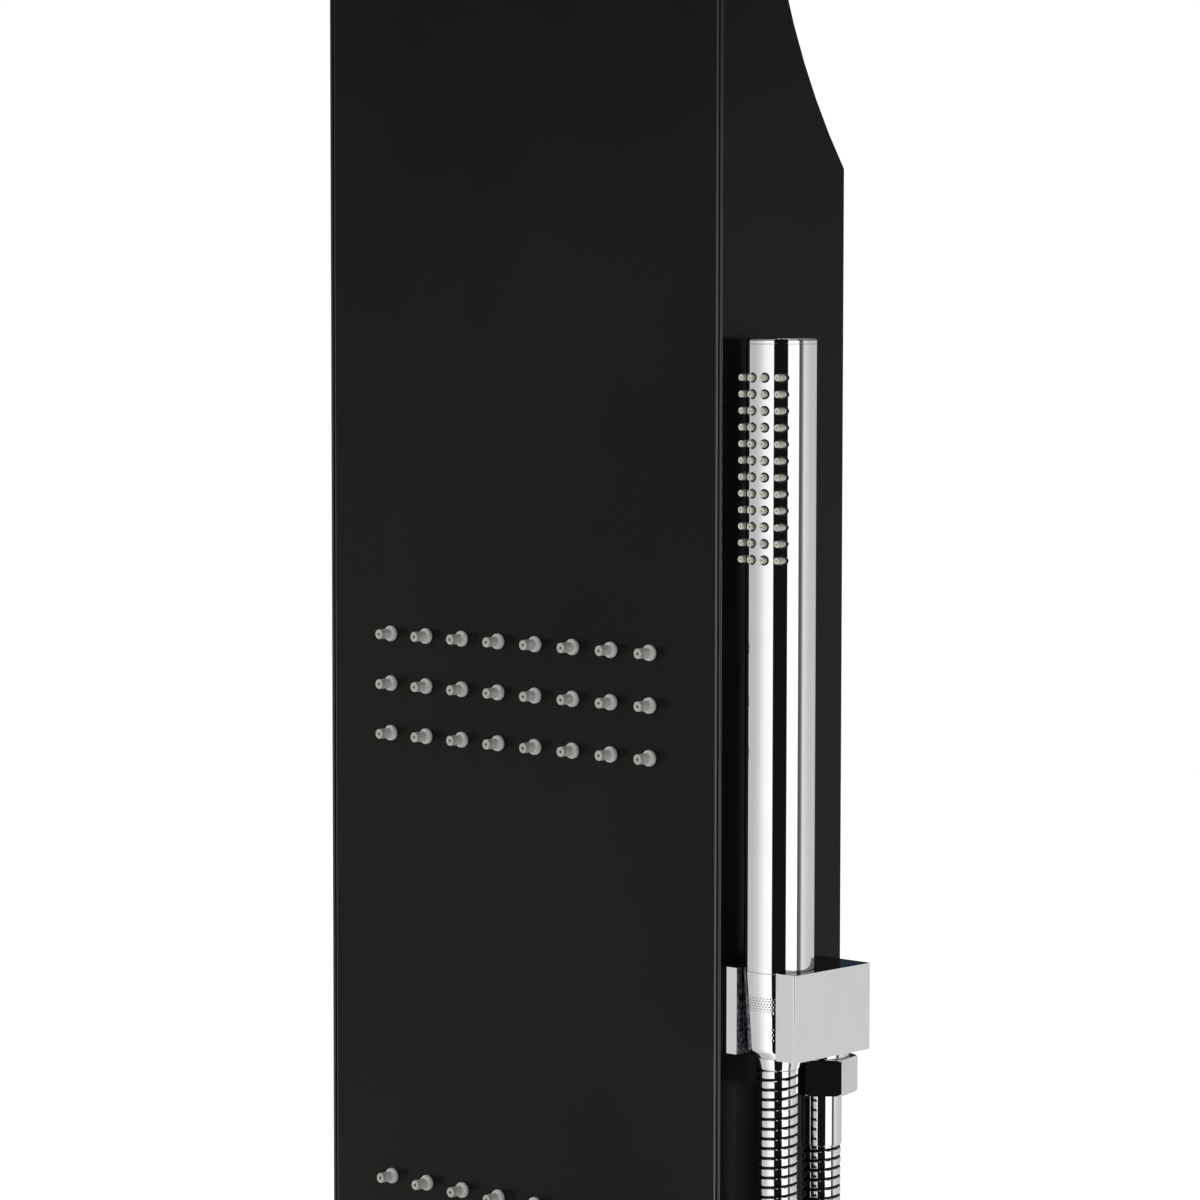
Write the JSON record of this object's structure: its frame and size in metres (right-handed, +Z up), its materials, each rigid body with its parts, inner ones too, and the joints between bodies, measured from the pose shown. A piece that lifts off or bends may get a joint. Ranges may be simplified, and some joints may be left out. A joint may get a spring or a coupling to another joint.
{
  "type": "shower panel column",
  "caption": "Wall-hung black shower panel with overhead rain field, body jets, lever mixer, diverter knob and a chrome stick hand shower in a side block",
  "frame": {"origin": "on the wall plane, midway between the two screw holes of the upper wall bracket", "axes": "+X to the right as seen from the front, +Y into the wall, +Z up"},
  "size_m": [0.3512, 0.445, 1.323],
  "materials": {
    "black_panel": "satin black coating",
    "steel": "zinc plated",
    "silicone": "translucent light grey",
    "grey_plastic": "moulded",
    "washer_rubber": "matte",
    "brass": "machined",
    "chrome": "polished",
    "hose_steel": "polished steel, ribbed"
  },
  "bodies": {
    "panel": {"front_plate": "black_panel", "side_plate_left": "black_panel", "side_plate_right": "black_panel", "top_cover": "black_panel", "bottom_plate": "black_panel", "corner_angle_left": "steel", "corner_angle_right": "steel", "overhead_angle_left": "steel", "overhead_angle_right": "steel", "hanger_upper": "steel", "hanger_lower": "steel", "wall_bracket_upper": "steel", "wall_bracket_lower": "steel", "chamber_nuts": "steel", "block_screw": "steel", "jet_nozzles_upper": "silicone", "jet_nozzles_lower": "silicone", "rain_nozzles": "silicone", "jet_chamber_upper": "grey_plastic", "jet_chamber_lower": "grey_plastic", "rain_chamber": "grey_plastic", "mixer_cartridge": "grey_plastic", "diverter_cartridge": "grey_plastic", "hose_washer": "washer_rubber", "mixer_body": "brass", "mixer_lock_ring": "brass", "inlet_nipple_hot": "brass", "inlet_nipple_cold": "brass", "link_pipe": "brass", "diverter_body": "brass", "rain_pipe": "brass", "jet_pipe": "brass", "handset_pipe": "brass", "block_nipple": "brass", "block_locknut": "brass", "mixer_trim": "chrome", "mixer_sleeve": "chrome", "diverter_trim": "chrome", "holder_block": "chrome", "outlet_nipple": "chrome", "hose_nut": "chrome", "hose_ferrule": "chrome", "hose": "hose_steel"},
    "mixer_turn_body": {"mixer_cap": "chrome"},
    "mixer_lever_body": {"mixer_lever": "chrome"},
    "diverter_knob_body": {"diverter_knob": "chrome", "diverter_spindle": "brass", "knob_grub_screw": "steel"},
    "hose_end": {"hose_collar": "chrome"},
    "handset": {"cone_nut": "chrome", "handset_washer": "washer_rubber", "handset_inlet": "brass", "handset_core": "grey_plastic", "handset_nozzles": "silicone", "handset_body": "chrome", "handset_cap": "chrome"}
  },
  "joints": [
    {"name": "mixer_turn", "type": "hinge", "parent": "panel", "child": "mixer_turn_body", "pos_m": [0, -0.091, -0.6], "axis": [0, -1, 0], "range_deg": [-50, 50]},
    {"name": "mixer_lift", "type": "hinge", "parent": "mixer_turn_body", "child": "mixer_lever_body", "pos_m": [0, -0.091, -0.6], "axis": [-1, 0, 0], "range_deg": [0, 25]},
    {"name": "diverter_turn", "type": "hinge", "parent": "panel", "child": "diverter_knob_body", "pos_m": [0, -0.067, -0.48], "axis": [0, -1, 0], "range_deg": [0, 270]},
    {"name": "handset_lift", "type": "slide", "parent": "panel", "child": "hose_end", "axis": [0, 0, 1], "range_m": [0, 0.04], "deforming": ["hose"]},
    {"name": "handset_turn", "type": "hinge", "parent": "hose_end", "child": "handset", "pos_m": [0.1165, -0.054, -0.222], "axis": [0, 0, 1], "continuous": true}
  ]
}
